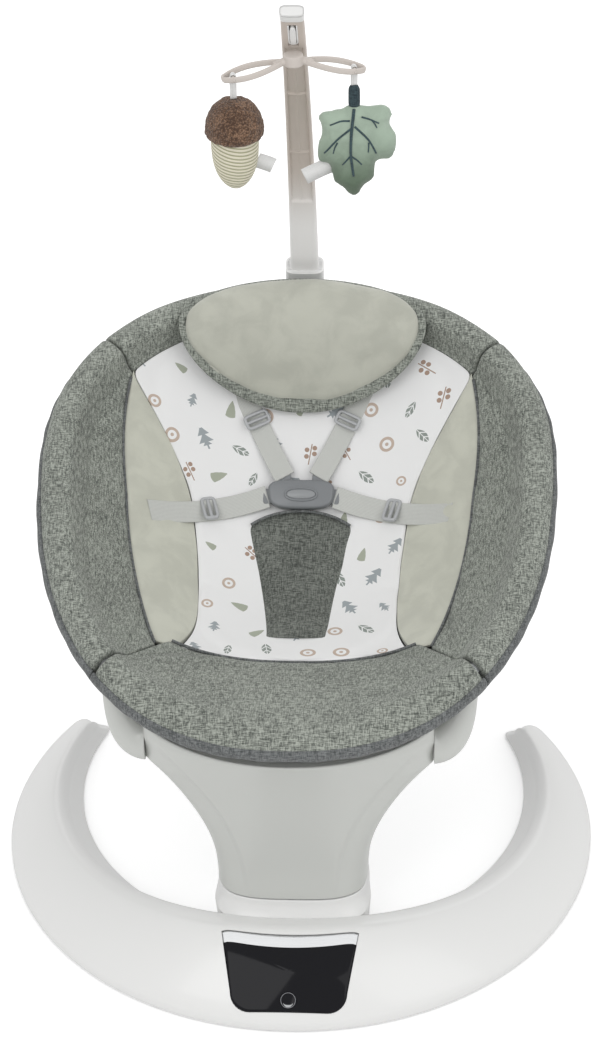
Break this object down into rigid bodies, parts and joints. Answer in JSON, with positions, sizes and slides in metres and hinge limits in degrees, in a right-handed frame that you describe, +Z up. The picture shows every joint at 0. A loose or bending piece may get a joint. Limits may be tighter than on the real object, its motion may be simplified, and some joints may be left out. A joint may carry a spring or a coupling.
{
  "type": "baby swing",
  "caption": "Electric baby swing: C-shaped base, swaying pedestal, reclining ring seat with padded cover and harness, toy bar with hanging toys.",
  "frame": {"origin": "on the floor under the upright sway axis, at the middle of the central foot", "axes": "+Z up, -Y towards the control panel and the foot end of the seat, +X to the right of someone who faces the panel"},
  "size_m": [0.5998, 0.5986, 0.8682],
  "materials": {
    "shell_plastic": "satin",
    "bar_plastic": "satin",
    "lens_gloss": "gloss",
    "bright_trim": "polished",
    "melange_fabric": "woven melange",
    "velvet": "short velvet",
    "printed_cotton": "printed cotton",
    "sling_cloth": "plain weave",
    "webbing": "webbing",
    "buckle_plastic": "satin",
    "slider_plastic": "satin",
    "steel": "satin",
    "gear_plastic": "moulded",
    "dark_plastic": "moulded",
    "board": "laminate",
    "foot_rubber": "matt",
    "ribbon_cloth": "ribbon",
    "acorn_boucle": "boucle",
    "acorn_cloth": "striped jersey",
    "leaf_velvet": "short velvet",
    "stem_cloth": "jersey"
  },
  "bodies": {
    "base": {"base_shell": "shell_plastic", "base_bottom_cover": "shell_plastic", "rubber_feet": "foot_rubber", "cover_screws": "steel", "control_lens": "lens_gloss", "panel_trim": "bright_trim", "control_board": "board", "speaker": "dark_plastic", "drive_motor": "steel", "lower_bearing": "steel", "upper_bearing": "steel", "bearing_bridge": "dark_plastic", "dc_inlet": "dark_plastic"},
    "power_button": {"power_button": "lens_gloss"},
    "pinion": {"drive_pinion": "gear_plastic"},
    "pedestal": {"sector_gear": "gear_plastic", "sway_shaft": "steel", "pedestal_front_shell": "shell_plastic", "pedestal_rear_shell": "shell_plastic", "pedestal_post": "steel", "recline_tube": "steel", "friction_discs": "dark_plastic"},
    "release_button": {"release_button": "buckle_plastic"},
    "hanger": {"toy_hanger": "bar_plastic"},
    "acorn": {"acorn_ribbon": "ribbon_cloth", "acorn_cap": "acorn_boucle", "acorn_body": "acorn_cloth", "acorn_label": "ribbon_cloth"},
    "leaf": {"leaf_ribbon": "ribbon_cloth", "leaf_stem": "stem_cloth", "leaf_body": "leaf_velvet", "leaf_label": "ribbon_cloth"},
    "seat": {"arm_left": "shell_plastic", "arm_right": "shell_plastic", "seat_tube": "steel", "side_panel_left": "melange_fabric", "side_panel_right": "melange_fabric", "front_panel": "melange_fabric", "top_panel": "melange_fabric", "seat_sling": "sling_cloth", "insert_wing_left": "velvet", "insert_wing_right": "velvet", "insert_centre": "printed_cotton", "head_pillow": "velvet", "shoulder_strap_left": "webbing", "shoulder_strap_right": "webbing", "waist_strap_left": "webbing", "waist_strap_right": "webbing", "crotch_pad": "melange_fabric", "buckle_body": "buckle_plastic", "buckle_tongues": "buckle_plastic", "shoulder_adjusters": "slider_plastic", "waist_sliders": "slider_plastic", "toy_bar_socket": "shell_plastic", "toy_bar": "bar_plastic", "toy_bar_cap": "shell_plastic", "hanger_clip": "shell_plastic"}
  },
  "joints": [
    {"name": "sway", "type": "hinge", "parent": "base", "child": "pedestal", "pos_m": [0, 0, 0.06], "axis": [0, 0, 1], "range_deg": [-12, 12]},
    {"name": "pinion_spin", "type": "hinge", "parent": "base", "child": "pinion", "pos_m": [0, -0.051, 0.04], "axis": [0, 0, 1], "range_deg": [-57, 57]},
    {"name": "power_press", "type": "slide", "parent": "base", "child": "power_button", "axis": [0, 0.5735, -0.8192], "range_m": [0, 0.001], "stiffness_N_per_m": 300, "springref_m": -0.001},
    {"name": "recline", "type": "hinge", "parent": "pedestal", "child": "seat", "pos_m": [0, -0.027, 0.25], "axis": [-1, 0, 0], "range_deg": [0, 12]},
    {"name": "release_press", "type": "slide", "parent": "seat", "child": "release_button", "axis": [0, 0.6691, -0.7431], "range_m": [0, 0.0025], "stiffness_N_per_m": 400, "springref_m": -0.001},
    {"name": "hanger_swivel", "type": "hinge", "parent": "seat", "child": "hanger", "pos_m": [0, 0.25743, 0.81003], "axis": [0, 0, 1], "range_deg": [-30, 10]},
    {"name": "acorn_swing", "type": "hinge", "parent": "hanger", "child": "acorn", "pos_m": [-0.05479, 0.24777, 0.79764], "axis": [-0.1736, 0.9848, 0], "range_deg": [-25, 25]},
    {"name": "leaf_swing", "type": "hinge", "parent": "hanger", "child": "leaf", "pos_m": [0.05479, 0.26709, 0.79764], "axis": [-0.1736, 0.9848, 0], "range_deg": [-25, 25]}
  ],
  "couplings": [
    {"joint": "pinion_spin", "follows": "sway", "ratio": -4.6667}
  ]
}
